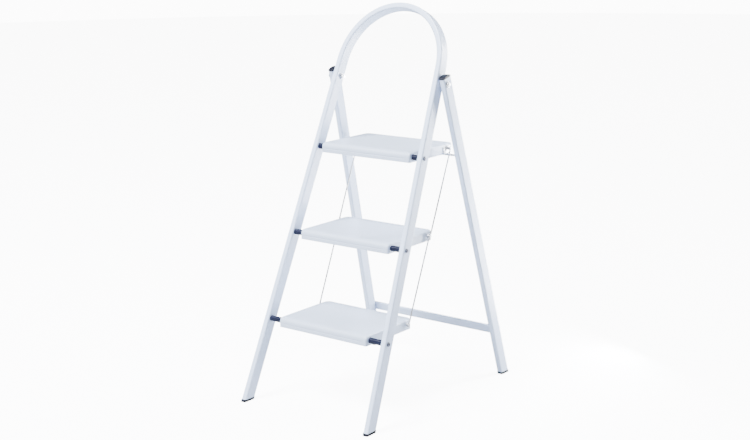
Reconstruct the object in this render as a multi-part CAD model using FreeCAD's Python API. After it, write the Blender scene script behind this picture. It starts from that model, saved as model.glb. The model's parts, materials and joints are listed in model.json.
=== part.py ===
import FreeCAD, Part
from math import atan, cos, degrees, radians, sin, tan
import os

from FreeCAD import Placement, Rotation, Vector

# Three-tread folding step ladder with a hoop handrail.
# Millimetres. X runs across the ladder, the climber stands on the -Y side, Z is up.
# The origin is on the floor, midway between the feet.

# Stance
PIVOT_HEIGHT = 854.0
FRONT_LEAN = radians(23.08)
REAR_LEAN = radians(14.93)
FRONT_HALF_WIDTH = 168.7
REAR_HALF_WIDTH = 189.4
FRONT_AXIS_AHEAD_OF_PIVOT = 5.1
REAR_AXIS_BEHIND_PIVOT = 5.4
FRONT_SPLAY = atan(0.0455)
REAR_SPLAY = atan(0.0467)
HOOP_RADIUS = 166.75
REAR_TOP_OVERHANG = 17.0

# Run-outs: how far cutting bodies and tube blanks reach past the finished parts
DRILL_REACH = 300.0
END_RUN_OUT = 40.0
BORE_RUN_OUT = 20.0
FOOT_FORM_START = 800.0
RIVET_JOIN = 0.3

# Oval-cornered rectangular steel tube
TUBE_WIDTH = 16.0
TUBE_DEPTH = 34.0
TUBE_CORNER = 4.0
TUBE_WALL = 1.2

# Pressed steel treads
TREAD_NAMES = ["bottom", "middle", "top"]
FIRST_TREAD_TOP = 230.0
TREAD_RISE = 226.5
TREAD_WIDTH = 299.0
TREAD_DEPTH = 205.0
TREAD_HEIGHT = 27.0
TREAD_WALL = 1.5
NOSE_RADIUS = 12.0
TREAD_EDGE_RADIUS = 5.0
REAR_CORNER_RADIUS = 18.0
HEM_DEPTH = 9.0
HINGE_BELOW_TOP = 14.0
HINGE_BEHIND_NOSE = 17.0
HINGE_AHEAD_OF_LEG_AXIS = 5.0

# Clearances
RUNNING = 0.05
OPEN_PIVOT = 0.3
SIDE_GAP = 0.3

# Tread hinge bolts and their plastic spacers
BOLT_RADIUS = 3.0
BOLT_HEAD_RADIUS = 5.6
BOLT_HEAD_HEIGHT = 3.2
BOLT_DOME_ROUNDING = 1.6
BOLT_SOCKET_ACROSS_FLATS = 4.0
BOLT_SOCKET_DEPTH = 1.8
NUT_ACROSS_FLATS = 10.0
NUT_HEIGHT = 5.0
SPACER_RADIUS = 7.8

# Top pivot bolts
PIVOT_RADIUS = 4.0
PIVOT_HEAD_RADIUS = 7.0
PIVOT_HEAD_HEIGHT = 4.5
PIVOT_FLANGE_RADIUS = 8.6
PIVOT_FLANGE_HEIGHT = 1.2
PIVOT_NUT_ACROSS_FLATS = 13.0
PIVOT_NUT_HEIGHT = 6.5
PIVOT_WASHER_RADIUS = 8.5
PIVOT_WASHER_HEIGHT = 1.6

# Link rods between the treads
ROD_RADIUS = 2.0
EYE_RADIUS = 6.0
EYE_HEIGHT = 2.2
NECK_LENGTH = 12.0
ROD_START = 7.5
PIN_RADIUS = 2.5
PIN_HEAD_RADIUS = 5.0
PIN_HEAD_HEIGHT = 1.8
PIN_TAIL_HEIGHT = 1.8
PIN_SHOULDER_RADIUS = 4.2
PIN_SHOULDER_HEIGHT = 4.5
LINK_AHEAD_OF_REAR = 28.0
LINK_BELOW_TOP = 12.0

# Catch: a rod across the rear legs and two hooks on the top tread
CATCH_RADIUS = 2.75
CATCH_DOWN_LEG = 217.0
CATCH_PAST_LEG_AXIS = 2.0
CATCH_CHAMFER = 0.6
HOOK_THICKNESS = 2.0
HOOK_SEAT_RADIUS = 3.2
HOOK_OUTER_RADIUS = 8.0
HOOK_LIP_ANGLE = -35.0
HOOK_THROAT_ANGLE = 130.0
HOOK_PLATE_AHEAD = 32.0
HOOK_PLATE_TOP = 27.0
HOOK_CORNER_RADIUS = 4.0

# Rear crossbar, a shallow channel riveted to the backs of the rear legs
CROSSBAR_DOWN_LEG = 759.0
CROSSBAR_PAST_LEG_AXIS = 2.5
CROSSBAR_HEIGHT = 25.0
CROSSBAR_DEPTH = 7.0
CROSSBAR_WALL = 1.5
CROSSBAR_BEND = 2.5
RIVET_RADIUS = 2.0
RIVET_HEAD_RADIUS = 3.4
RIVET_HEAD_HEIGHT = 1.6
RIVET_BULB_RADIUS = 2.9
RIVET_BULB_LENGTH = 3.0
RIVET_SPACING = 12.0
RIVET_INSIDE_LEG_AXIS = 1.0
RIVET_HEAD_ROUNDING = 1.0
RIVET_MOUTH_RADIUS = 1.1
RIVET_MOUTH_DEPTH = 1.1

# Feet and end caps
SOLE_HEIGHT = 6.0
SOLE_MARGIN = 1.2
SOLE_GROOVE_DEPTH = 1.2
SOLE_GROOVE_WIDTH = 2.4
SOLE_GROOVE_PITCH = 7.0
PLUG_LENGTH = 30.0
PLUG_CLEARANCE = 0.05
CAP_MARGIN = 0.7
CAP_HEIGHT = 7.0
CAP_CROWN_RADIUS = 42.0
CAP_EDGE_RADIUS = 2.0
CAP_PLUG_LENGTH = 10.0

FLOOR_REACH = 2000.0
HALF_SOLE = TUBE_DEPTH / 2 + SOLE_MARGIN
FRONT_FOOT_Y = PIVOT_HEIGHT * tan(FRONT_LEAN) + (HALF_SOLE + FRONT_AXIS_AHEAD_OF_PIVOT) / cos(FRONT_LEAN)
REAR_FOOT_Y = PIVOT_HEIGHT * tan(REAR_LEAN) + (HALF_SOLE + REAR_AXIS_BEHIND_PIVOT) / cos(REAR_LEAN)
PIVOT_Y = (FRONT_FOOT_Y - REAR_FOOT_Y) / 2
FRONT_LEG_LENGTH = PIVOT_HEIGHT / cos(FRONT_LEAN)
REAR_LEG_LENGTH = PIVOT_HEIGHT / cos(REAR_LEAN)
TREAD_HALF = TREAD_WIDTH / 2

X_AXIS = Vector(1, 0, 0)
Y_AXIS = Vector(0, 1, 0)
Z_AXIS = Vector(0, 0, 1)


def box(x_low, y_low, z_low, x_high, y_high, z_high):
    corner = Vector(x_low, y_low, z_low)
    return Part.makeBox(x_high - x_low, y_high - y_low, z_high - z_low, corner)


def rod_along_x(radius, x_low, x_high, y, z):
    return Part.makeCylinder(radius, x_high - x_low, Vector(x_low, y, z), X_AXIS)


def join(shapes):
    whole = shapes[0]
    for shape in shapes[1:]:
        whole = whole.fuse(shape)
    return whole.removeSplitter()


def mirrored(shape):
    return shape.mirror(Vector(0, 0, 0), X_AXIS)


def both_sides(shape):
    return Part.makeCompound([shape, mirrored(shape)])


def tipped(shape, lean, axis_behind):
    """Tips a shape that is drawn upright around a leg's axis, its origin level with the top pivot."""
    turn = Placement(Vector(0, PIVOT_Y, PIVOT_HEIGHT), Rotation(X_AXIS, degrees(lean)))
    shift = Placement(Vector(0, axis_behind, 0), Rotation())
    copy = shape.copy()
    copy.Placement = turn.multiply(shift).multiply(shape.Placement)
    return copy


def in_front_frame(shape):
    return tipped(shape, -FRONT_LEAN, -FRONT_AXIS_AHEAD_OF_PIVOT)


def in_rear_frame(shape):
    return tipped(shape, REAR_LEAN, REAR_AXIS_BEHIND_PIVOT)


def above_floor(shape, height):
    return shape.cut(box(-FLOOR_REACH, -FLOOR_REACH, -FLOOR_REACH, FLOOR_REACH, FLOOR_REACH, height))


# ---------------------------------------------------------------- tube and legs


def section_wire(margin):
    """The tube's section grown by a margin, centred on the origin in the XY plane."""
    half_x = TUBE_WIDTH / 2 + margin
    half_y = TUBE_DEPTH / 2 + margin
    corner = TUBE_CORNER + margin
    outline = box(-half_x, -half_y, 0, half_x, half_y, 1)
    upright = [edge for edge in outline.Edges if abs(edge.tangentAt(edge.FirstParameter).z) > 0.9]
    rounded = outline.makeFillet(corner, upright)
    ends = [face for face in rounded.Faces if abs(face.CenterOfMass.z) < 1e-6]
    return ends[0].OuterWire


def leg_prism(half_width, splay, down_from, down_to, margin):
    """A straight run of the right-hand leg, drawn upright."""
    length = (down_to - down_from) / cos(splay)
    prism = Part.Face(section_wire(margin)).extrude(Vector(0, 0, -length))
    prism.rotate(Vector(0, 0, 0), Y_AXIS, -degrees(splay))
    prism.translate(Vector(half_width + down_from * tan(splay), 0, -down_from))
    return prism


def leg_centre(half_width, splay, down):
    return half_width + down * tan(splay)


TANGENT_UP = (FRONT_HALF_WIDTH - HOOP_RADIUS * cos(FRONT_SPLAY)) / tan(FRONT_SPLAY)
HOOP_CENTRE_UP = TANGENT_UP - HOOP_RADIUS * sin(FRONT_SPLAY)


def hoop_prism(margin):
    """The half-round bend between the two straight legs, drawn upright."""
    face = Part.Face(section_wire(margin))
    face.translate(Vector(HOOP_RADIUS, 0, HOOP_CENTRE_UP))
    centre = Vector(0, 0, HOOP_CENTRE_UP)
    face.rotate(centre, Y_AXIS, -degrees(FRONT_SPLAY))
    return face.revolve(centre, Y_AXIS, -(180 - 2 * degrees(FRONT_SPLAY)))


def front_tube_form(margin, down_to):
    leg = leg_prism(FRONT_HALF_WIDTH, FRONT_SPLAY, -TANGENT_UP, down_to, margin)
    return in_front_frame(join([leg, hoop_prism(margin), mirrored(leg)]))


def rear_leg_form(margin, down_from, down_to):
    leg = leg_prism(REAR_HALF_WIDTH, REAR_SPLAY, down_from, down_to, margin)
    return in_rear_frame(leg)


def front_axis_y(z):
    at_pivot = PIVOT_Y - FRONT_AXIS_AHEAD_OF_PIVOT / cos(FRONT_LEAN)
    return at_pivot - (PIVOT_HEIGHT - z) * tan(FRONT_LEAN)


def front_axis_x(z):
    drop = PIVOT_HEIGHT + FRONT_AXIS_AHEAD_OF_PIVOT * sin(FRONT_LEAN) - z
    return leg_centre(FRONT_HALF_WIDTH, FRONT_SPLAY, drop / cos(FRONT_LEAN))


def hinge_of(tread):
    """Height and depth of a tread's hinge axis."""
    z = FIRST_TREAD_TOP + TREAD_RISE * TREAD_NAMES.index(tread) - HINGE_BELOW_TOP
    return front_axis_y(z) - HINGE_AHEAD_OF_LEG_AXIS, z


def link_pin_of(tread):
    y, z = hinge_of(tread)
    rear_edge = y - HINGE_BEHIND_NOSE + TREAD_DEPTH
    return rear_edge - LINK_AHEAD_OF_REAR, z + HINGE_BELOW_TOP - LINK_BELOW_TOP


FRONT_SOLID = front_tube_form(0, FRONT_LEG_LENGTH + END_RUN_OUT)


def front_frame_tube():
    bore = front_tube_form(-TUBE_WALL, FRONT_LEG_LENGTH + END_RUN_OUT + BORE_RUN_OUT)
    tube = above_floor(FRONT_SOLID.cut(bore), SOLE_HEIGHT)
    for tread in TREAD_NAMES:
        y, z = hinge_of(tread)
        tube = tube.cut(rod_along_x(BOLT_RADIUS + RUNNING, -DRILL_REACH, DRILL_REACH, y, z))
    return tube.cut(rod_along_x(PIVOT_RADIUS + RUNNING, -DRILL_REACH, DRILL_REACH, PIVOT_Y, PIVOT_HEIGHT))


def rivet_places():
    """Upright places of the crossbar's rivets on the right-hand rear leg: across and down."""
    places = []
    for offset in (-RIVET_SPACING / 2, RIVET_SPACING / 2):
        down = CROSSBAR_DOWN_LEG + offset
        across = leg_centre(REAR_HALF_WIDTH, REAR_SPLAY, down) - RIVET_INSIDE_LEG_AXIS
        places.append((across, down))
    return places


def rod_along_y(radius, y_low, y_high, x, z):
    return Part.makeCylinder(radius, y_high - y_low, Vector(x, y_low, z), Y_AXIS)


def rear_leg():
    outer = rear_leg_form(0, -REAR_TOP_OVERHANG, REAR_LEG_LENGTH + END_RUN_OUT)
    bore = rear_leg_form(
        -TUBE_WALL, -REAR_TOP_OVERHANG - BORE_RUN_OUT, REAR_LEG_LENGTH + END_RUN_OUT + BORE_RUN_OUT
    )
    leg = above_floor(outer.cut(bore), SOLE_HEIGHT)
    leg = leg.cut(rod_along_x(PIVOT_RADIUS + RUNNING, 0, DRILL_REACH, PIVOT_Y, PIVOT_HEIGHT))
    for x, down in rivet_places():
        hole = rod_along_y(RIVET_RADIUS + RUNNING, 0, TUBE_DEPTH, x, -down)
        leg = leg.cut(in_rear_frame(hole))
    return leg


# ---------------------------------------------------------------- feet and caps


def foot(form, y_centre):
    """A ribbed sole under a tube end, with a plug up inside the tube."""
    slab = box(-FLOOR_REACH, -FLOOR_REACH, 0, FLOOR_REACH, FLOOR_REACH, SOLE_HEIGHT)
    reach = box(-FLOOR_REACH, -FLOOR_REACH, SOLE_HEIGHT - 1, FLOOR_REACH, FLOOR_REACH, PLUG_LENGTH)
    sole = form(SOLE_MARGIN).common(slab)
    plug = form(-TUBE_WALL - PLUG_CLEARANCE).common(reach)
    whole = join([sole, plug])
    for step in (-2, -1, 0, 1, 2):
        y = y_centre + step * SOLE_GROOVE_PITCH
        groove = box(
            0, y - SOLE_GROOVE_WIDTH / 2, -1, DRILL_REACH, y + SOLE_GROOVE_WIDTH / 2, SOLE_GROOVE_DEPTH
        )
        whole = whole.cut(groove)
    return whole


def front_foot():
    def form(margin):
        length = FRONT_LEG_LENGTH + END_RUN_OUT
        leg = leg_prism(FRONT_HALF_WIDTH, FRONT_SPLAY, FOOT_FORM_START, length, margin)
        return in_front_frame(leg)

    return foot(form, front_axis_y(0))


def rear_foot():
    def form(margin):
        return rear_leg_form(margin, FOOT_FORM_START, REAR_LEG_LENGTH + END_RUN_OUT)

    axis_y = PIVOT_Y + PIVOT_HEIGHT * tan(REAR_LEAN) + REAR_AXIS_BEHIND_PIVOT / cos(REAR_LEAN)
    return foot(form, axis_y)


def rear_cap():
    """A crowned plug in the open top of a rear leg."""
    top = -REAR_TOP_OVERHANG
    skirt = leg_prism(REAR_HALF_WIDTH, REAR_SPLAY, top - CAP_HEIGHT, top, CAP_MARGIN)
    crown = rod_along_x(CAP_CROWN_RADIUS, 0, DRILL_REACH, 0, -top + CAP_HEIGHT - CAP_CROWN_RADIUS)
    head = skirt.common(crown)
    highest = max(face.BoundBox.ZMax for face in head.Faces)
    crown_edges = []
    for edge in head.Edges:
        middle = edge.valueAt((edge.FirstParameter + edge.LastParameter) / 2)
        upright = abs(edge.tangentAt(edge.FirstParameter).z) > 0.9
        if middle.z > highest - CAP_HEIGHT + 1.0 and not upright:
            crown_edges.append(edge)
    head = head.makeFillet(CAP_EDGE_RADIUS, crown_edges)
    plug_margin = -TUBE_WALL - PLUG_CLEARANCE
    plug = leg_prism(REAR_HALF_WIDTH, REAR_SPLAY, top - 1, top + CAP_PLUG_LENGTH, plug_margin)
    return in_rear_frame(join([head, plug]))


# ---------------------------------------------------------------- treads


def tread_form(inset, bottom):
    """The tread's outer shape shrunk by an inset: rolled nose, rounded rear corners."""
    half = TREAD_HALF - inset
    rear = TREAD_DEPTH - inset
    top = TREAD_HEIGHT - inset
    nose = NOSE_RADIUS - inset
    centre = Vector(-half, inset + nose, top - nose)
    corner = centre + Vector(0, -nose * cos(radians(45)), nose * sin(radians(45)))
    front_foot_point = Vector(-half, inset, bottom)
    front_tangent = Vector(-half, inset, top - nose)
    top_tangent = Vector(-half, inset + nose, top)
    rear_top = Vector(-half, rear, top)
    rear_bottom = Vector(-half, rear, bottom)
    profile = Part.Wire(
        [
            Part.makeLine(front_foot_point, front_tangent),
            Part.Arc(front_tangent, corner, top_tangent).toShape(),
            Part.makeLine(top_tangent, rear_top),
            Part.makeLine(rear_top, rear_bottom),
            Part.makeLine(rear_bottom, front_foot_point),
        ]
    )
    solid = Part.Face(profile).extrude(Vector(2 * half, 0, 0))
    rear_corners = []
    for edge in solid.Edges:
        ends = [vertex.Point for vertex in edge.Vertexes]
        if len(ends) == 2 and all(abs(end.y - rear) < 1e-6 for end in ends):
            if abs(ends[0].x - ends[1].x) < 1e-6:
                rear_corners.append(edge)
    solid = solid.makeFillet(REAR_CORNER_RADIUS - inset, rear_corners)
    rim = []
    for edge in solid.Edges:
        bounds = edge.BoundBox
        flat_bottom = bounds.ZMax < bottom + 1e-6
        rear_upright = bounds.ZLength > 1 and bounds.YMin > NOSE_RADIUS + 5
        across_nose = bounds.XLength > half and bounds.YMin < NOSE_RADIUS + 5
        if not (flat_bottom or rear_upright or across_nose):
            rim.append(edge)
    return solid.makeFillet(TREAD_EDGE_RADIUS - inset, rim)


def bead(y, z, radius, half_length):
    """A half-round pressed line with rounded ends."""
    line = rod_along_x(radius, -half_length, half_length, y, z)
    ends = [Part.makeSphere(radius, Vector(side * half_length, y, z)) for side in (-1, 1)]
    return join([line] + ends)


def tread(name):
    outer = tread_form(0, 0)
    pan = outer.cut(tread_form(TREAD_WALL, -5))
    hem_half = TREAD_HALF - REAR_CORNER_RADIUS
    front_hem = box(-hem_half, TREAD_WALL / 2, 0, hem_half, HEM_DEPTH, TREAD_WALL)
    rear_hem = box(
        -hem_half, TREAD_DEPTH - HEM_DEPTH, 0, hem_half, TREAD_DEPTH - TREAD_WALL / 2, TREAD_WALL
    )
    pan = join([pan, front_hem, rear_hem])
    # Two pressed lines, one on the top behind the nose and one along the front.
    pan = pan.cut(bead(NOSE_RADIUS + 3, TREAD_HEIGHT + 1.6, 2.3, TREAD_HALF - 20))
    pan = pan.cut(bead(-1.7, TREAD_HEIGHT / 2 - 3, 2.3, TREAD_HALF - 16))
    y, z = hinge_of(name)
    pan.translate(Vector(0, y - HINGE_BEHIND_NOSE, z + HINGE_BELOW_TOP - TREAD_HEIGHT))
    pan = pan.cut(rod_along_x(BOLT_RADIUS + RUNNING, -DRILL_REACH, DRILL_REACH, y, z))
    pin_y, pin_z = link_pin_of(name)
    return pan.cut(rod_along_x(PIN_RADIUS + RUNNING, -DRILL_REACH, DRILL_REACH, pin_y, pin_z))


# ---------------------------------------------------------------- tread hinges


def domed_head(radius, height, rounding, x, y, z):
    """A round head standing on x, domed towards +X."""
    head = Part.makeCylinder(radius, height, Vector(x, y, z), X_AXIS)
    outer = [edge for edge in head.Edges if edge.BoundBox.XMin > x + height - 1e-6]
    return head.makeFillet(rounding, outer)


def hex_bar(across_flats, length, x, y, z):
    """A six-sided bar standing on x and reaching towards +X."""
    corner = across_flats / 2 / cos(radians(30))
    points = []
    for step in range(7):
        angle = radians(60 * step)
        points.append(Vector(x, y + corner * cos(angle), z + corner * sin(angle)))
    return Part.Face(Part.makePolygon(points)).extrude(Vector(length, 0, 0))


def hex_prism(across_flats, height, x, y, z):
    """A nut body standing on x and reaching towards +X, its far corners chamfered."""
    corner = across_flats / 2 / cos(radians(30))
    body = hex_bar(across_flats, height, x, y, z)
    cone = Part.makeCone(corner + height, corner - 0.7, height + 0.7, Vector(x, y, z), X_AXIS)
    return body.common(cone)


def spacer(name):
    y, z = hinge_of(name)
    outer = rod_along_x(SPACER_RADIUS, TREAD_HALF + SIDE_GAP, front_axis_x(z), y, z)
    sleeve = outer.cut(FRONT_SOLID)
    return sleeve.cut(rod_along_x(BOLT_RADIUS + RUNNING, 0, DRILL_REACH, y, z))


def hinge_bolt(name):
    y, z = hinge_of(name)
    face = front_axis_x(z) + TUBE_WIDTH / 2 / cos(FRONT_SPLAY)
    root = Part.makeCylinder(BOLT_HEAD_RADIUS, 2, Vector(face - 1, y, z), X_AXIS)
    dome = domed_head(BOLT_HEAD_RADIUS, BOLT_HEAD_HEIGHT - 1, BOLT_DOME_ROUNDING, face + 1, y, z)
    head = join([root, dome]).cut(FRONT_SOLID)
    inner_end = TREAD_HALF - TREAD_WALL - SIDE_GAP - NUT_HEIGHT - 1
    shank = rod_along_x(BOLT_RADIUS, inner_end, face + 1, y, z)
    socket_floor = face + BOLT_HEAD_HEIGHT - BOLT_SOCKET_DEPTH
    socket = hex_bar(BOLT_SOCKET_ACROSS_FLATS, BOLT_SOCKET_DEPTH + 1, socket_floor, y, z)
    return join([head, shank]).cut(socket)


def hinge_nut(name):
    y, z = hinge_of(name)
    face = TREAD_HALF - TREAD_WALL - SIDE_GAP
    nut = mirrored(hex_prism(NUT_ACROSS_FLATS, NUT_HEIGHT, -face, y, z))
    return nut.cut(rod_along_x(BOLT_RADIUS, 0, DRILL_REACH, y, z))


# ---------------------------------------------------------------- top pivots


def rear_leg_inner_x():
    return REAR_HALF_WIDTH - TUBE_WIDTH / 2 / cos(REAR_SPLAY)


def pivot_bolt():
    slant = PIVOT_FLANGE_RADIUS * tan(REAR_SPLAY)
    seat = REAR_HALF_WIDTH + TUBE_WIDTH / 2 / cos(REAR_SPLAY) + slant + SIDE_GAP
    flange = Part.makeCylinder(
        PIVOT_FLANGE_RADIUS, PIVOT_FLANGE_HEIGHT, Vector(seat, PIVOT_Y, PIVOT_HEIGHT), X_AXIS
    )
    dome = domed_head(
        PIVOT_HEAD_RADIUS, PIVOT_HEAD_HEIGHT, 3.2, seat + PIVOT_FLANGE_HEIGHT, PIVOT_Y, PIVOT_HEIGHT
    )
    inner = FRONT_HALF_WIDTH - TUBE_WIDTH / 2 - PIVOT_WASHER_HEIGHT - PIVOT_NUT_HEIGHT - 2
    shank = rod_along_x(PIVOT_RADIUS, inner, seat + 1, PIVOT_Y, PIVOT_HEIGHT)
    return join([flange, dome, shank])


def pivot_spacer_washer():
    """Thick washer between the front tube and the rear leg."""
    slant = PIVOT_WASHER_RADIUS * tan(REAR_SPLAY)
    outer_face = rear_leg_inner_x() - slant - SIDE_GAP
    blank = rod_along_x(
        PIVOT_WASHER_RADIUS, FRONT_HALF_WIDTH, outer_face, PIVOT_Y, PIVOT_HEIGHT
    )
    return blank.cut(FRONT_SOLID).cut(
        rod_along_x(PIVOT_RADIUS, 0, DRILL_REACH, PIVOT_Y, PIVOT_HEIGHT)
    )


def nut_washer_face():
    return FRONT_HALF_WIDTH - TUBE_WIDTH / 2 - PIVOT_WASHER_HEIGHT


def pivot_nut_washer():
    blank = rod_along_x(
        PIVOT_WASHER_RADIUS, nut_washer_face(), FRONT_HALF_WIDTH, PIVOT_Y, PIVOT_HEIGHT
    )
    return blank.cut(FRONT_SOLID).cut(
        rod_along_x(PIVOT_RADIUS, 0, DRILL_REACH, PIVOT_Y, PIVOT_HEIGHT)
    )


def pivot_nut():
    nut = mirrored(
        hex_prism(PIVOT_NUT_ACROSS_FLATS, PIVOT_NUT_HEIGHT, -nut_washer_face(), PIVOT_Y, PIVOT_HEIGHT)
    )
    return nut.cut(rod_along_x(PIVOT_RADIUS, 0, DRILL_REACH, PIVOT_Y, PIVOT_HEIGHT))


# ---------------------------------------------------------------- catch and crossbar


def catch_centre():
    out = REAR_AXIS_BEHIND_PIVOT + TUBE_DEPTH / 2 + CATCH_RADIUS
    y = PIVOT_Y + CATCH_DOWN_LEG * sin(REAR_LEAN) + out * cos(REAR_LEAN)
    z = PIVOT_HEIGHT - CATCH_DOWN_LEG * cos(REAR_LEAN) + out * sin(REAR_LEAN)
    return y, z


def catch_rod():
    reach = leg_centre(REAR_HALF_WIDTH, REAR_SPLAY, CATCH_DOWN_LEG) + CATCH_PAST_LEG_AXIS
    y, z = catch_centre()
    rod = rod_along_x(CATCH_RADIUS, -reach, reach, y, z)
    ends = [edge for edge in rod.Edges if edge.BoundBox.XLength < 1e-6]
    return rod.makeChamfer(CATCH_CHAMFER, ends)


def crossbar():
    down = CROSSBAR_DOWN_LEG
    half = leg_centre(REAR_HALF_WIDTH, REAR_SPLAY, down) + CROSSBAR_PAST_LEG_AXIS
    front = TUBE_DEPTH / 2
    back = front + CROSSBAR_DEPTH
    low = -down - CROSSBAR_HEIGHT / 2
    high = -down + CROSSBAR_HEIGHT / 2
    outer = box(-half, front, low, half, back, high)
    bends = [e for e in outer.Edges if e.BoundBox.XLength > half and e.BoundBox.YMax < front + 1]
    outer = outer.makeFillet(CROSSBAR_BEND, bends)
    wall = CROSSBAR_WALL
    inner = box(-half - 1, front + wall, low + wall, half + 1, back + 1, high - wall)
    bends = [e for e in inner.Edges if e.BoundBox.XLength > half and e.BoundBox.YMax < back]
    inner = inner.makeFillet(CROSSBAR_BEND - wall, bends)
    bar = outer.cut(inner)
    for x, place in rivet_places():
        for side in (-1, 1):
            bar = bar.cut(rod_along_y(RIVET_RADIUS + RUNNING, 0, back, side * x, -place))
    return in_rear_frame(bar)


def crossbar_rivets():
    rivets = []
    web = TUBE_DEPTH / 2 + CROSSBAR_WALL
    inside = TUBE_DEPTH / 2 - TUBE_WALL
    for x, down in rivet_places():
        head = Part.makeCylinder(RIVET_HEAD_RADIUS, RIVET_HEAD_HEIGHT, Vector(x, web, -down), Y_AXIS)
        outer = [e for e in head.Edges if e.BoundBox.YMin > web + RIVET_HEAD_HEIGHT - 1e-6]
        head = head.makeFillet(RIVET_HEAD_ROUNDING, outer)
        mouth_floor = web + RIVET_HEAD_HEIGHT - RIVET_MOUTH_DEPTH
        head = head.cut(rod_along_y(RIVET_MOUTH_RADIUS, mouth_floor, web + RIVET_HEAD_HEIGHT + 1, x, -down))
        shank = rod_along_y(RIVET_RADIUS, inside - RIVET_JOIN, web + RIVET_JOIN, x, -down)
        bulb = rod_along_y(RIVET_BULB_RADIUS, inside - RIVET_BULB_LENGTH, inside, x, -down)
        rivet = join([head, shank, bulb])
        rivets += [rivet, mirrored(rivet)]
    return in_rear_frame(Part.makeCompound(rivets))


def hook():
    """A flat hook on the top tread's side that drops over the catch rod."""
    catch_y, catch_z = catch_centre()

    def corner(behind, above):
        return Vector(TREAD_HALF, catch_y + behind, catch_z + above)

    def on_ring(radius, angle):
        return corner(radius * cos(radians(angle)), radius * sin(radians(angle)))

    seat = HOOK_SEAT_RADIUS
    outer = HOOK_OUTER_RADIUS
    seat_middle = (HOOK_LIP_ANGLE + HOOK_THROAT_ANGLE) / 2
    front_low = corner(-HOOK_PLATE_AHEAD, outer)
    front_high = corner(-HOOK_PLATE_AHEAD, HOOK_PLATE_TOP)
    rear_high = corner(0, HOOK_PLATE_TOP)
    shoulder = on_ring(outer, 0)
    throat = corner(-outer, outer)
    lip_outside = on_ring(outer, HOOK_LIP_ANGLE)
    lip_inside = on_ring(seat, HOOK_LIP_ANGLE)
    throat_end = on_ring(seat, HOOK_THROAT_ANGLE)
    outline = Part.Wire(
        [
            Part.makeLine(front_low, front_high),
            Part.makeLine(front_high, rear_high),
            Part.makeLine(rear_high, shoulder),
            Part.Arc(shoulder, on_ring(outer, HOOK_LIP_ANGLE / 2), lip_outside).toShape(),
            Part.makeLine(lip_outside, lip_inside),
            Part.Arc(lip_inside, on_ring(seat, seat_middle), throat_end).toShape(),
            Part.makeLine(throat_end, throat),
            Part.makeLine(throat, front_low),
        ]
    )
    plate = Part.Face(outline).extrude(Vector(HOOK_THICKNESS, 0, 0))
    rounded = []
    for edge in plate.Edges:
        bounds = edge.BoundBox
        if bounds.XLength > HOOK_THICKNESS - 1e-6 and bounds.ZMin > catch_z + outer - 1:
            if bounds.YMax < catch_y - HOOK_PLATE_AHEAD + 1 or bounds.ZMin > catch_z + outer + 1:
                rounded.append(edge)
    plate = plate.makeFillet(HOOK_CORNER_RADIUS, rounded)
    pin_y, pin_z = link_pin_of("top")
    return plate.cut(rod_along_x(PIN_RADIUS + RUNNING, 0, DRILL_REACH, pin_y, pin_z))


# ---------------------------------------------------------------- link rods


LOWER_EYE_X = TREAD_HALF + PIN_SHOULDER_HEIGHT + SIDE_GAP
UPPER_EYE_X = LOWER_EYE_X + EYE_HEIGHT + SIDE_GAP


def link_rod(upper_tread, lower_tread, eye_x):
    """A wire with a flattened, punched eye at each end."""
    top_y, top_z = link_pin_of(upper_tread)
    low_y, low_z = link_pin_of(lower_tread)
    start = Vector(eye_x, top_y, top_z)
    end = Vector(eye_x, low_y, low_z)
    along = (end - start).normalize()
    length = (end - start).Length
    across = along.cross(X_AXIS)
    pieces = []
    for eye, way in ((start, along), (end, along * -1)):
        pieces.append(Part.makeCylinder(EYE_RADIUS, EYE_HEIGHT, eye, X_AXIS))
        side = across * ROD_RADIUS
        corners = [eye - side, eye + side, eye + side + way * NECK_LENGTH]
        corners += [eye - side + way * NECK_LENGTH, eye - side]
        pieces.append(Part.Face(Part.makePolygon(corners)).extrude(Vector(EYE_HEIGHT, 0, 0)))
    wire_start = start + along * ROD_START + Vector(ROD_RADIUS, 0, 0)
    pieces.append(Part.makeCylinder(ROD_RADIUS, length - 2 * ROD_START, wire_start, along))
    rod = join(pieces)
    rod = rod.cut(rod_along_x(PIN_RADIUS + RUNNING, 0, DRILL_REACH, top_y, top_z))
    return rod.cut(rod_along_x(PIN_RADIUS + OPEN_PIVOT, 0, DRILL_REACH, low_y, low_z))


def link_pin(name):
    """A shouldered rivet through the tread's side that carries the link rods' eyes."""
    y, z = link_pin_of(name)
    last_eye = LOWER_EYE_X if name == "bottom" else UPPER_EYE_X
    seat = TREAD_HALF + HOOK_THICKNESS if name == "top" else TREAD_HALF
    shoulder = rod_along_x(PIN_SHOULDER_RADIUS, seat, LOWER_EYE_X - SIDE_GAP, y, z)
    head_x = last_eye + EYE_HEIGHT + SIDE_GAP
    head = domed_head(PIN_HEAD_RADIUS, PIN_HEAD_HEIGHT, 1.5, head_x, y, z)
    inside = TREAD_HALF - TREAD_WALL
    tail = rod_along_x(PIN_HEAD_RADIUS - 0.6, inside - PIN_TAIL_HEIGHT, inside, y, z)
    shank = rod_along_x(PIN_RADIUS, inside - 1, head_x + 1, y, z)
    return join([head, tail, shank, shoulder])


# ---------------------------------------------------------------- assembly


def add_pair(nodes, name, shape):
    nodes[name + "_right"] = shape
    nodes[name + "_left"] = mirrored(shape)


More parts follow.
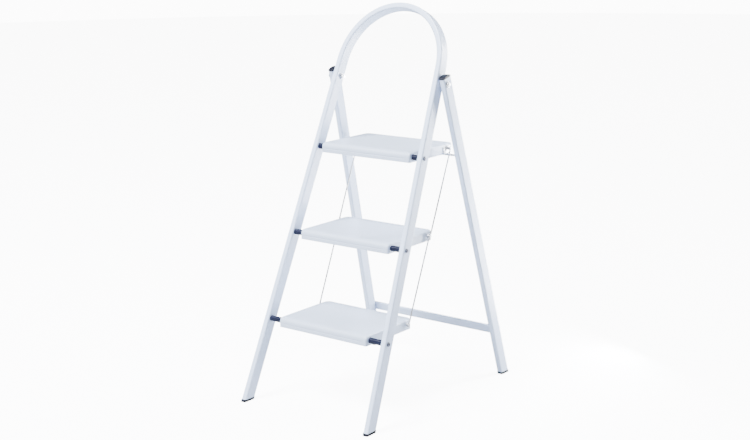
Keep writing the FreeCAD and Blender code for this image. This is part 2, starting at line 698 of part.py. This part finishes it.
def all_nodes():
    nodes = {"front_frame_tube": front_frame_tube()}
    add_pair(nodes, "front_foot", front_foot())
    for name in TREAD_NAMES:
        nodes[name + "_tread"] = tread(name)
        add_pair(nodes, name + "_tread_spacer", spacer(name))
        nodes[name + "_link_pins"] = both_sides(link_pin(name))
    bolts = [hinge_bolt(name) for name in TREAD_NAMES]
    nuts = [hinge_nut(name) for name in TREAD_NAMES]
    nodes["tread_hinge_bolts"] = Part.makeCompound(bolts + [mirrored(b) for b in bolts])
    nodes["tread_hinge_nuts"] = Part.makeCompound(nuts + [mirrored(n) for n in nuts])
    nodes["top_pivot_bolts"] = both_sides(pivot_bolt())
    nodes["top_pivot_nuts"] = both_sides(pivot_nut())
    nodes["top_pivot_spacer_washers"] = both_sides(pivot_spacer_washer())
    nodes["top_pivot_nut_washers"] = both_sides(pivot_nut_washer())
    add_pair(nodes, "rear_leg", rear_leg())
    add_pair(nodes, "rear_foot", rear_foot())
    add_pair(nodes, "rear_leg_cap", rear_cap())
    nodes["rear_crossbar"] = crossbar()
    nodes["rear_crossbar_rivets"] = crossbar_rivets()
    nodes["catch_rod"] = catch_rod()
    add_pair(nodes, "catch_hook", hook())
    add_pair(nodes, "upper_link_rod", link_rod("top", "middle", UPPER_EYE_X))
    add_pair(nodes, "lower_link_rod", link_rod("middle", "bottom", LOWER_EYE_X))
    return nodes


os.makedirs("parts", exist_ok=True)
for node_name, node_shape in all_nodes().items():
    node_shape.exportStep("parts/" + node_name + ".step")
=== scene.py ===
import json
import math

import bmesh
import bpy
from mathutils import Matrix, Vector


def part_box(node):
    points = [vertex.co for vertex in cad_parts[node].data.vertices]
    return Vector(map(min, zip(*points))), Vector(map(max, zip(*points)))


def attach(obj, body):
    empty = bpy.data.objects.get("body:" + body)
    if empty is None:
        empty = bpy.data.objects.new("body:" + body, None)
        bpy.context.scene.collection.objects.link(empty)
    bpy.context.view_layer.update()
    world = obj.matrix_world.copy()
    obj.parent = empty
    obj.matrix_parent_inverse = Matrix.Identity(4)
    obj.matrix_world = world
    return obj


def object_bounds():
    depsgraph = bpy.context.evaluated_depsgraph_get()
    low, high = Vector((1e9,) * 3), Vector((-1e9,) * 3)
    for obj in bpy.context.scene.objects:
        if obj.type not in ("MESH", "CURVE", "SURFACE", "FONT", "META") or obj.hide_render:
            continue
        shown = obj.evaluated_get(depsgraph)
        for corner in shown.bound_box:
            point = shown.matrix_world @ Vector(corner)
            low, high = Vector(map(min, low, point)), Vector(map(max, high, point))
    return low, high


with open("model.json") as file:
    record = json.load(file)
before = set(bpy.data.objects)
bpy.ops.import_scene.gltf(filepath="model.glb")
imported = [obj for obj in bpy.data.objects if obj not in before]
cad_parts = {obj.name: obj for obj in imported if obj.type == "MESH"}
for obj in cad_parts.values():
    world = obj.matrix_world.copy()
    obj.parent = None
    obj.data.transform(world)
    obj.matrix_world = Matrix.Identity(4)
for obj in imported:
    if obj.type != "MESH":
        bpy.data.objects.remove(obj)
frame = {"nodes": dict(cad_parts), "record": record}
CAD_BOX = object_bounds()
NODES = frame["nodes"]

# ---------------------------------------------------------------- measures of the ladder, in metres

SIDES = {"right": 1, "left": -1}
REAR_LEAN = math.radians(14.93)
REAR_LEG_AXIS_AT_CATCH = 0.1995
CATCH_RADIUS = 0.00275


# ---------------------------------------------------------------- node helpers


class Recipe:
    """A material's node tree with short calls for the nodes that it needs."""

    def __init__(self, name, viewport_colour):
        self.material = bpy.data.materials.new(name)
        self.material.use_nodes = True
        self.material.diffuse_color = (*viewport_colour, 1.0)
        self.tree = self.material.node_tree
        self.shader = self.tree.nodes["Principled BSDF"]
        place = self.tree.nodes.new("ShaderNodeTexCoord")
        self.place = place.outputs["Object"]

    def link(self, source, target):
        self.tree.links.new(source, target)

    def set(self, **values):
        for name, value in values.items():
            socket = name.replace("_", " ").title().replace("Ior", "IOR")
            self.shader.inputs[socket].default_value = value

    def stretched(self, scale):
        mapping = self.tree.nodes.new("ShaderNodeMapping")
        mapping.inputs["Scale"].default_value = scale
        self.link(self.place, mapping.inputs["Vector"])
        return mapping.outputs["Vector"]

    def noise(self, scale, detail=2.0, roughness=0.5, source=None):
        node = self.tree.nodes.new("ShaderNodeTexNoise")
        node.inputs["Scale"].default_value = scale
        node.inputs["Detail"].default_value = detail
        node.inputs["Roughness"].default_value = roughness
        self.link(source or self.place, node.inputs["Vector"])
        return node.outputs["Fac"]

    def remap(self, value, low, high, to_low=0.0, to_high=1.0):
        node = self.tree.nodes.new("ShaderNodeMapRange")
        node.inputs["From Min"].default_value = low
        node.inputs["From Max"].default_value = high
        node.inputs["To Min"].default_value = to_low
        node.inputs["To Max"].default_value = to_high
        self.link(value, node.inputs["Value"])
        return node.outputs["Result"]

    def math(self, operation, first, second):
        node = self.tree.nodes.new("ShaderNodeMath")
        node.operation = operation
        for socket, value in zip(node.inputs, (first, second)):
            if isinstance(value, (int, float)):
                socket.default_value = value
            else:
                self.link(value, socket)
        return node.outputs["Value"]

    def blend(self, share, first, second):
        """A colour between two, by share. Each is a colour or a socket."""
        node = self.tree.nodes.new("ShaderNodeMix")
        node.data_type = "RGBA"
        self.link(share, node.inputs[0])
        for socket, value in ((node.inputs[6], first), (node.inputs[7], second)):
            if isinstance(value, tuple):
                socket.default_value = (*value, 1.0)
            else:
                self.link(value, socket)
        return node.outputs[2]

    def axis(self, letter, normal=False):
        """One component of the place on the object, or of the surface's normal."""
        split = self.tree.nodes.new("ShaderNodeSeparateXYZ")
        if normal:
            geometry = self.tree.nodes.new("ShaderNodeTexCoord")
            self.link(geometry.outputs["Normal"], split.inputs[0])
        else:
            self.link(self.place, split.inputs[0])
        return split.outputs[letter]

    def bump(self, height, strength, distance, under=None):
        node = self.tree.nodes.new("ShaderNodeBump")
        node.inputs["Strength"].default_value = strength
        node.inputs["Distance"].default_value = distance
        self.link(height, node.inputs["Height"])
        if under is not None:
            self.link(under, node.inputs["Normal"])
        return node.outputs["Normal"]

    def finish(self, colour=None, roughness=None, normal=None):
        for name, value in (("Base Color", colour), ("Roughness", roughness), ("Normal", normal)):
            if value is not None:
                self.link(value, self.shader.inputs[name])
        return self.material


# ---------------------------------------------------------------- materials


def powder_coat(name, base, scuffed):
    """Bluish-white powder coat: orange peel, faint mottling, dust near the floor, scuffs if stood on."""
    recipe = Recipe(name, base)
    recipe.set(coat_weight=0.25, coat_roughness=0.22, specular_ior_level=0.5)
    shade = tuple(c * 0.93 for c in base)
    mottle = recipe.remap(recipe.noise(9.0, 4.0, 0.6), 0.35, 0.65)
    colour = recipe.blend(recipe.math("MULTIPLY", mottle, 0.6), base, shade)
    speck = recipe.remap(recipe.noise(2600.0, 1.0), 0.68, 0.80)
    colour = recipe.blend(recipe.math("MULTIPLY", speck, 0.35), colour, tuple(c * 0.78 for c in base))
    grime = recipe.remap(recipe.noise(38.0, 5.0, 0.65), 0.52, 0.78)
    colour = recipe.blend(recipe.math("MULTIPLY", grime, 0.10), colour, (0.52, 0.52, 0.52))
    near_floor = recipe.remap(recipe.axis("Z"), 0.004, 0.075, 1.0, 0.0)
    dust = recipe.math("MULTIPLY", near_floor, recipe.remap(recipe.noise(75.0, 4.0, 0.6), 0.40, 0.75))
    colour = recipe.blend(recipe.math("MULTIPLY", dust, 0.07), colour, (0.42, 0.42, 0.43))
    roughness = recipe.remap(recipe.noise(120.0, 3.0), 0.3, 0.7, 0.36, 0.46)
    peel = recipe.noise(520.0, 2.0, 0.45)
    normal = recipe.bump(peel, 0.16, 0.0006)
    if scuffed:
        streaks = recipe.noise(60.0, 6.0, 0.7, recipe.stretched((0.35, 7.0, 1.0)))
        streaks = recipe.remap(streaks, 0.60, 0.74)
        patches = recipe.remap(recipe.noise(7.0, 2.0), 0.45, 0.62)
        upward = recipe.remap(recipe.axis("Z", normal=True), 0.8, 0.98)
        worn = recipe.math("MULTIPLY", recipe.math("MULTIPLY", streaks, patches), upward)
        colour = recipe.blend(recipe.math("MULTIPLY", worn, 0.22), colour, (0.50, 0.51, 0.54))
        roughness = recipe.math("ADD", roughness, recipe.math("MULTIPLY", worn, 0.18))
        normal = recipe.bump(streaks, 0.05, 0.0002, normal)
    return recipe.finish(colour, roughness, normal)


def moulded_plastic(name, base, gloss, grain):
    """Injection-moulded plastic: fine mould grain, slight sheen changes and dull patches."""
    recipe = Recipe(name, base)
    recipe.set(specular_ior_level=0.18, ior=1.5)
    flow = recipe.remap(recipe.noise(45.0, 3.0), 0.3, 0.7)
    colour = recipe.blend(flow, base, tuple(c * 1.5 + 0.004 for c in base))
    dust = recipe.remap(recipe.noise(300.0, 4.0, 0.7), 0.62, 0.85)
    colour = recipe.blend(recipe.math("MULTIPLY", dust, 0.18), colour, (0.12, 0.13, 0.15))
    roughness = recipe.remap(recipe.noise(160.0, 3.0), 0.3, 0.7, gloss, gloss + 0.14)
    normal = recipe.bump(recipe.noise(grain, 2.0, 0.5), 0.22, 0.0003)
    return recipe.finish(colour, roughness, normal)


def plated_steel(name, base, shine, brushing):
    """Zinc-plated steel: drawing lines, cloudy passivation and a scatter of dull spots."""
    recipe = Recipe(name, base)
    recipe.set(metallic=1.0, specular_ior_level=0.5)
    lines = recipe.noise(220.0, 4.0, 0.6, recipe.stretched(brushing))
    cloud = recipe.remap(recipe.noise(90.0, 4.0, 0.6), 0.3, 0.7)
    colour = recipe.blend(cloud, base, tuple(c * f for c, f in zip(base, (0.80, 0.81, 0.84))))
    spots = recipe.remap(recipe.noise(700.0, 2.0), 0.66, 0.78)
    colour = recipe.blend(recipe.math("MULTIPLY", spots, 0.4), colour, tuple(c * 0.55 for c in base))
    roughness = recipe.remap(lines, 0.3, 0.7, shine, shine + 0.16)
    normal = recipe.bump(lines, 0.12, 0.0002)
    return recipe.finish(colour, roughness, normal)


FRAME_WHITE = (0.57, 0.68, 0.90)
# The tread white is the frame white darkened about 15 %, so the lit tread tops come out dimmer than the
# frame: painted shade on the treads.
TREAD_SHADED_WHITE = (0.49, 0.58, 0.75)
PAINT = powder_coat("frame_paint", FRAME_WHITE, False)
TREAD_SHADED_PAINT = powder_coat("tread_paint", TREAD_SHADED_WHITE, True)
NAVY_PLASTIC = moulded_plastic("spacer_plastic", (0.003, 0.005, 0.019), 0.30, 900.0)
CAP_PLASTIC = moulded_plastic("cap_plastic", (0.0035, 0.005, 0.011), 0.30, 1100.0)
FOOT_PLASTIC = moulded_plastic("foot_plastic", (0.004, 0.005, 0.010), 0.50, 700.0)
ZINC = plated_steel("zinc_plate", (0.62, 0.63, 0.65), 0.28, (1.0, 1.0, 12.0))
BOLT_STEEL = plated_steel("bolt_steel", (0.10, 0.11, 0.145), 0.30, (12.0, 1.0, 1.0))
PIVOT_STEEL = plated_steel("pivot_steel", (0.80, 0.81, 0.83), 0.18, (12.0, 1.0, 1.0))

FINISHES = {
    "frame_paint": PAINT,
    "tread_paint": TREAD_SHADED_PAINT,
    "spacer_plastic": NAVY_PLASTIC,
    "cap_plastic": CAP_PLASTIC,
    "foot_plastic": FOOT_PLASTIC,
    "zinc_plate": ZINC,
    "bolt_steel": BOLT_STEEL,
    "pivot_steel": PIVOT_STEEL,
}


def paint_cad_nodes():
    for entry in frame["record"]["subparts"]:
        mesh = NODES[entry["node"]].data
        mesh.materials.clear()
        mesh.materials.append(FINISHES[entry["material_slot"]])


paint_cad_nodes()


# ---------------------------------------------------------------- welds

BEAD_RINGS = 44
BEAD_SIDES = 12
BEAD_RADIUS = 0.0013
BEAD_RIPPLES = 15
BEAD_INSIDE_LEG_AXIS = 0.0072
BEAD_SHORT_OF_ROD_END = 0.0006
BEAD_OUT_OF_LEG = 0.78
BEAD_UP_LEG = 0.92


def bead_form(length):
    """A weld bead along X: overlapping ripples, tapered at both ends."""
    form = bmesh.new()
    rings = []
    for step in range(BEAD_RINGS + 1):
        along = step / BEAD_RINGS
        taper = math.sqrt(max(0.02, 1 - (2 * along - 1) ** 6))
        ripple = 0.86 + 0.14 * abs(math.sin(math.pi * BEAD_RIPPLES * along))
        sway = 0.10 * BEAD_RADIUS * math.sin(9.0 * along + 0.7)
        ring = []
        for turn in range(BEAD_SIDES):
            angle = 2 * math.pi * turn / BEAD_SIDES
            radius = BEAD_RADIUS * taper * ripple
            place = (length * (along - 0.5), radius * math.cos(angle) + sway, radius * math.sin(angle))
            ring.append(form.verts.new(place))
        rings.append(ring)
    for first, second in zip(rings, rings[1:]):
        for turn in range(BEAD_SIDES):
            ahead = (turn + 1) % BEAD_SIDES
            form.faces.new((first[turn], second[turn], second[ahead], first[ahead]))
    form.faces.new(rings[0])
    form.faces.new(list(reversed(rings[-1])))
    for face in form.faces:
        face.smooth = True
    return form


def catch_welds():
    """Beads above and below the catch rod, where it lies on the backs of the rear legs."""
    low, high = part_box("catch_rod")
    rod_end = high.x
    out_of_leg = Vector((0.0, math.cos(REAR_LEAN), math.sin(REAR_LEAN)))
    up_leg = Vector((0.0, -math.sin(REAR_LEAN), math.cos(REAR_LEAN)))
    inner = REAR_LEG_AXIS_AT_CATCH - BEAD_INSIDE_LEG_AXIS
    length = rod_end - BEAD_SHORT_OF_ROD_END - inner
    for side, sign in SIDES.items():
        centre = Vector((sign * (inner + length / 2), (low.y + high.y) / 2, (low.z + high.z) / 2))
        for place, way in (("upper", 1), ("lower", -1)):
            mesh = bpy.data.meshes.new("catch_weld")
            form = bead_form(length)
            form.to_mesh(mesh)
            form.free()
            bead = bpy.data.objects.new("catch_weld_" + place + "_" + side, mesh)
            outward = out_of_leg * CATCH_RADIUS * BEAD_OUT_OF_LEG
            upward = up_leg * way * CATCH_RADIUS * BEAD_UP_LEG
            bead.location = centre - outward + upward
            bpy.context.scene.collection.objects.link(bead)
            mesh.materials.append(PAINT)
            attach(bead, "rear_frame")


catch_welds()


# ---------------------------------------------------------------- floor, light and camera

FLOOR_RADIUS = 14.0
FLOOR_SEGMENTS = 96
FLOOR_GAP = 0.0005
FLOOR_GREY = (0.50, 0.52, 0.56, 1.0)
FLOOR_GLOW = 10.0
SKY_SEEN = 12.0
SKY_CAST = 0.46
SKY_CAST_COLOUR = (0.93, 0.96, 1.0, 1.0)
WHITE = (1.0, 1.0, 1.0, 1.0)

CAMERA_AZIMUTH = math.radians(37.8505)
CAMERA_ELEVATION = math.radians(12.8401)
CAMERA_ROLL = math.radians(-0.6613)
CAMERA_DISTANCE = 3.8072
CAMERA_TARGET = Vector((-0.0456, 0.0639, 0.4587))
CAMERA_LENS = 65.346


def seen_and_cast(tree, seen, cast, shader_type):
    """Mixes two shaders: one for camera rays alone, and one that lights the object."""
    path = tree.nodes.new("ShaderNodeLightPath")
    mix = tree.nodes.new("ShaderNodeMixShader")
    tree.links.new(path.outputs["Is Camera Ray"], mix.inputs["Fac"])
    tree.links.new(cast, mix.inputs[1])
    tree.links.new(seen, mix.inputs[2])
    output = next(node for node in tree.nodes if node.type == shader_type)
    tree.links.new(mix.outputs["Shader"], output.inputs["Surface"])


def studio_floor():
    mesh = bpy.data.meshes.new("studio_floor")
    form = bmesh.new()
    bmesh.ops.create_circle(form, cap_ends=True, radius=FLOOR_RADIUS, segments=FLOOR_SEGMENTS)
    form.to_mesh(mesh)
    form.free()
    floor = bpy.data.objects.new("studio_floor", mesh)
    floor.location.z = CAD_BOX[0].z - FLOOR_GAP
    bpy.context.scene.collection.objects.link(floor)
    recipe = Recipe("studio_floor", (0.9, 0.9, 0.9))
    recipe.set(roughness=0.9, base_color=FLOOR_GREY)
    glow = recipe.tree.nodes.new("ShaderNodeEmission")
    glow.inputs["Strength"].default_value = FLOOR_GLOW
    lit = recipe.tree.nodes.new("ShaderNodeAddShader")
    recipe.link(recipe.shader.outputs["BSDF"], lit.inputs[0])
    recipe.link(glow.outputs["Emission"], lit.inputs[1])
    seen_and_cast(recipe.tree, lit.outputs["Shader"], recipe.shader.outputs["BSDF"], "OUTPUT_MATERIAL")
    mesh.materials.append(recipe.material)


def studio_sky():
    world = bpy.data.worlds.new("studio_sky")
    world.use_nodes = True
    tree = world.node_tree
    cast = tree.nodes["Background"]
    cast.inputs["Color"].default_value = SKY_CAST_COLOUR
    cast.inputs["Strength"].default_value = SKY_CAST
    seen = tree.nodes.new("ShaderNodeBackground")
    seen.inputs["Color"].default_value = WHITE
    seen.inputs["Strength"].default_value = SKY_SEEN
    seen_and_cast(tree, seen.outputs["Background"], cast.outputs["Background"], "OUTPUT_WORLD")
    bpy.context.scene.world = world


def soft_box(name, place, target, width, height, power):
    data = bpy.data.lights.new(name, "AREA")
    data.shape = "RECTANGLE"
    data.size = width
    data.size_y = height
    data.energy = power
    light = bpy.data.objects.new(name, data)
    light.location = place
    light.visible_camera = False
    light.rotation_euler = (Vector(target) - Vector(place)).to_track_quat("-Z", "Y").to_euler()
    bpy.context.scene.collection.objects.link(light)


def camera():
    """Looks from the climber's right, a little above the treads."""
    flat = math.cos(CAMERA_ELEVATION)
    back = Vector(
        (math.sin(CAMERA_AZIMUTH) * flat, -math.cos(CAMERA_AZIMUTH) * flat, math.sin(CAMERA_ELEVATION))
    )
    level = Vector((math.cos(CAMERA_AZIMUTH), math.sin(CAMERA_AZIMUTH), 0.0))
    upright = back.cross(level)
    across = level * math.cos(CAMERA_ROLL) + upright * math.sin(CAMERA_ROLL)
    above = upright * math.cos(CAMERA_ROLL) - level * math.sin(CAMERA_ROLL)
    data = bpy.data.cameras.new("camera")
    data.lens = CAMERA_LENS
    data.sensor_width = 36.0
    data.clip_end = 60.0
    eye = bpy.data.objects.new("camera", data)
    turn = Matrix((across, above, back)).transposed().to_4x4()
    eye.matrix_world = Matrix.Translation(CAMERA_TARGET + back * CAMERA_DISTANCE) @ turn
    bpy.context.scene.collection.objects.link(eye)
    bpy.context.scene.camera = eye


studio_floor()
studio_sky()
AIM = (0.0, 0.0, 0.5)
soft_box("key_light", (-1.2, -3.1, 5.6), AIM, 2.3, 2.3, 1900.0)
soft_box("right_fill", (3.2, -0.6, 1.0), AIM, 2.0, 1.6, 8.0)
soft_box("rear_strip", (0.42, 0.64, 0.62), (0.2, 0.2, 0.56), 0.15, 1.1, 33.0)
camera()
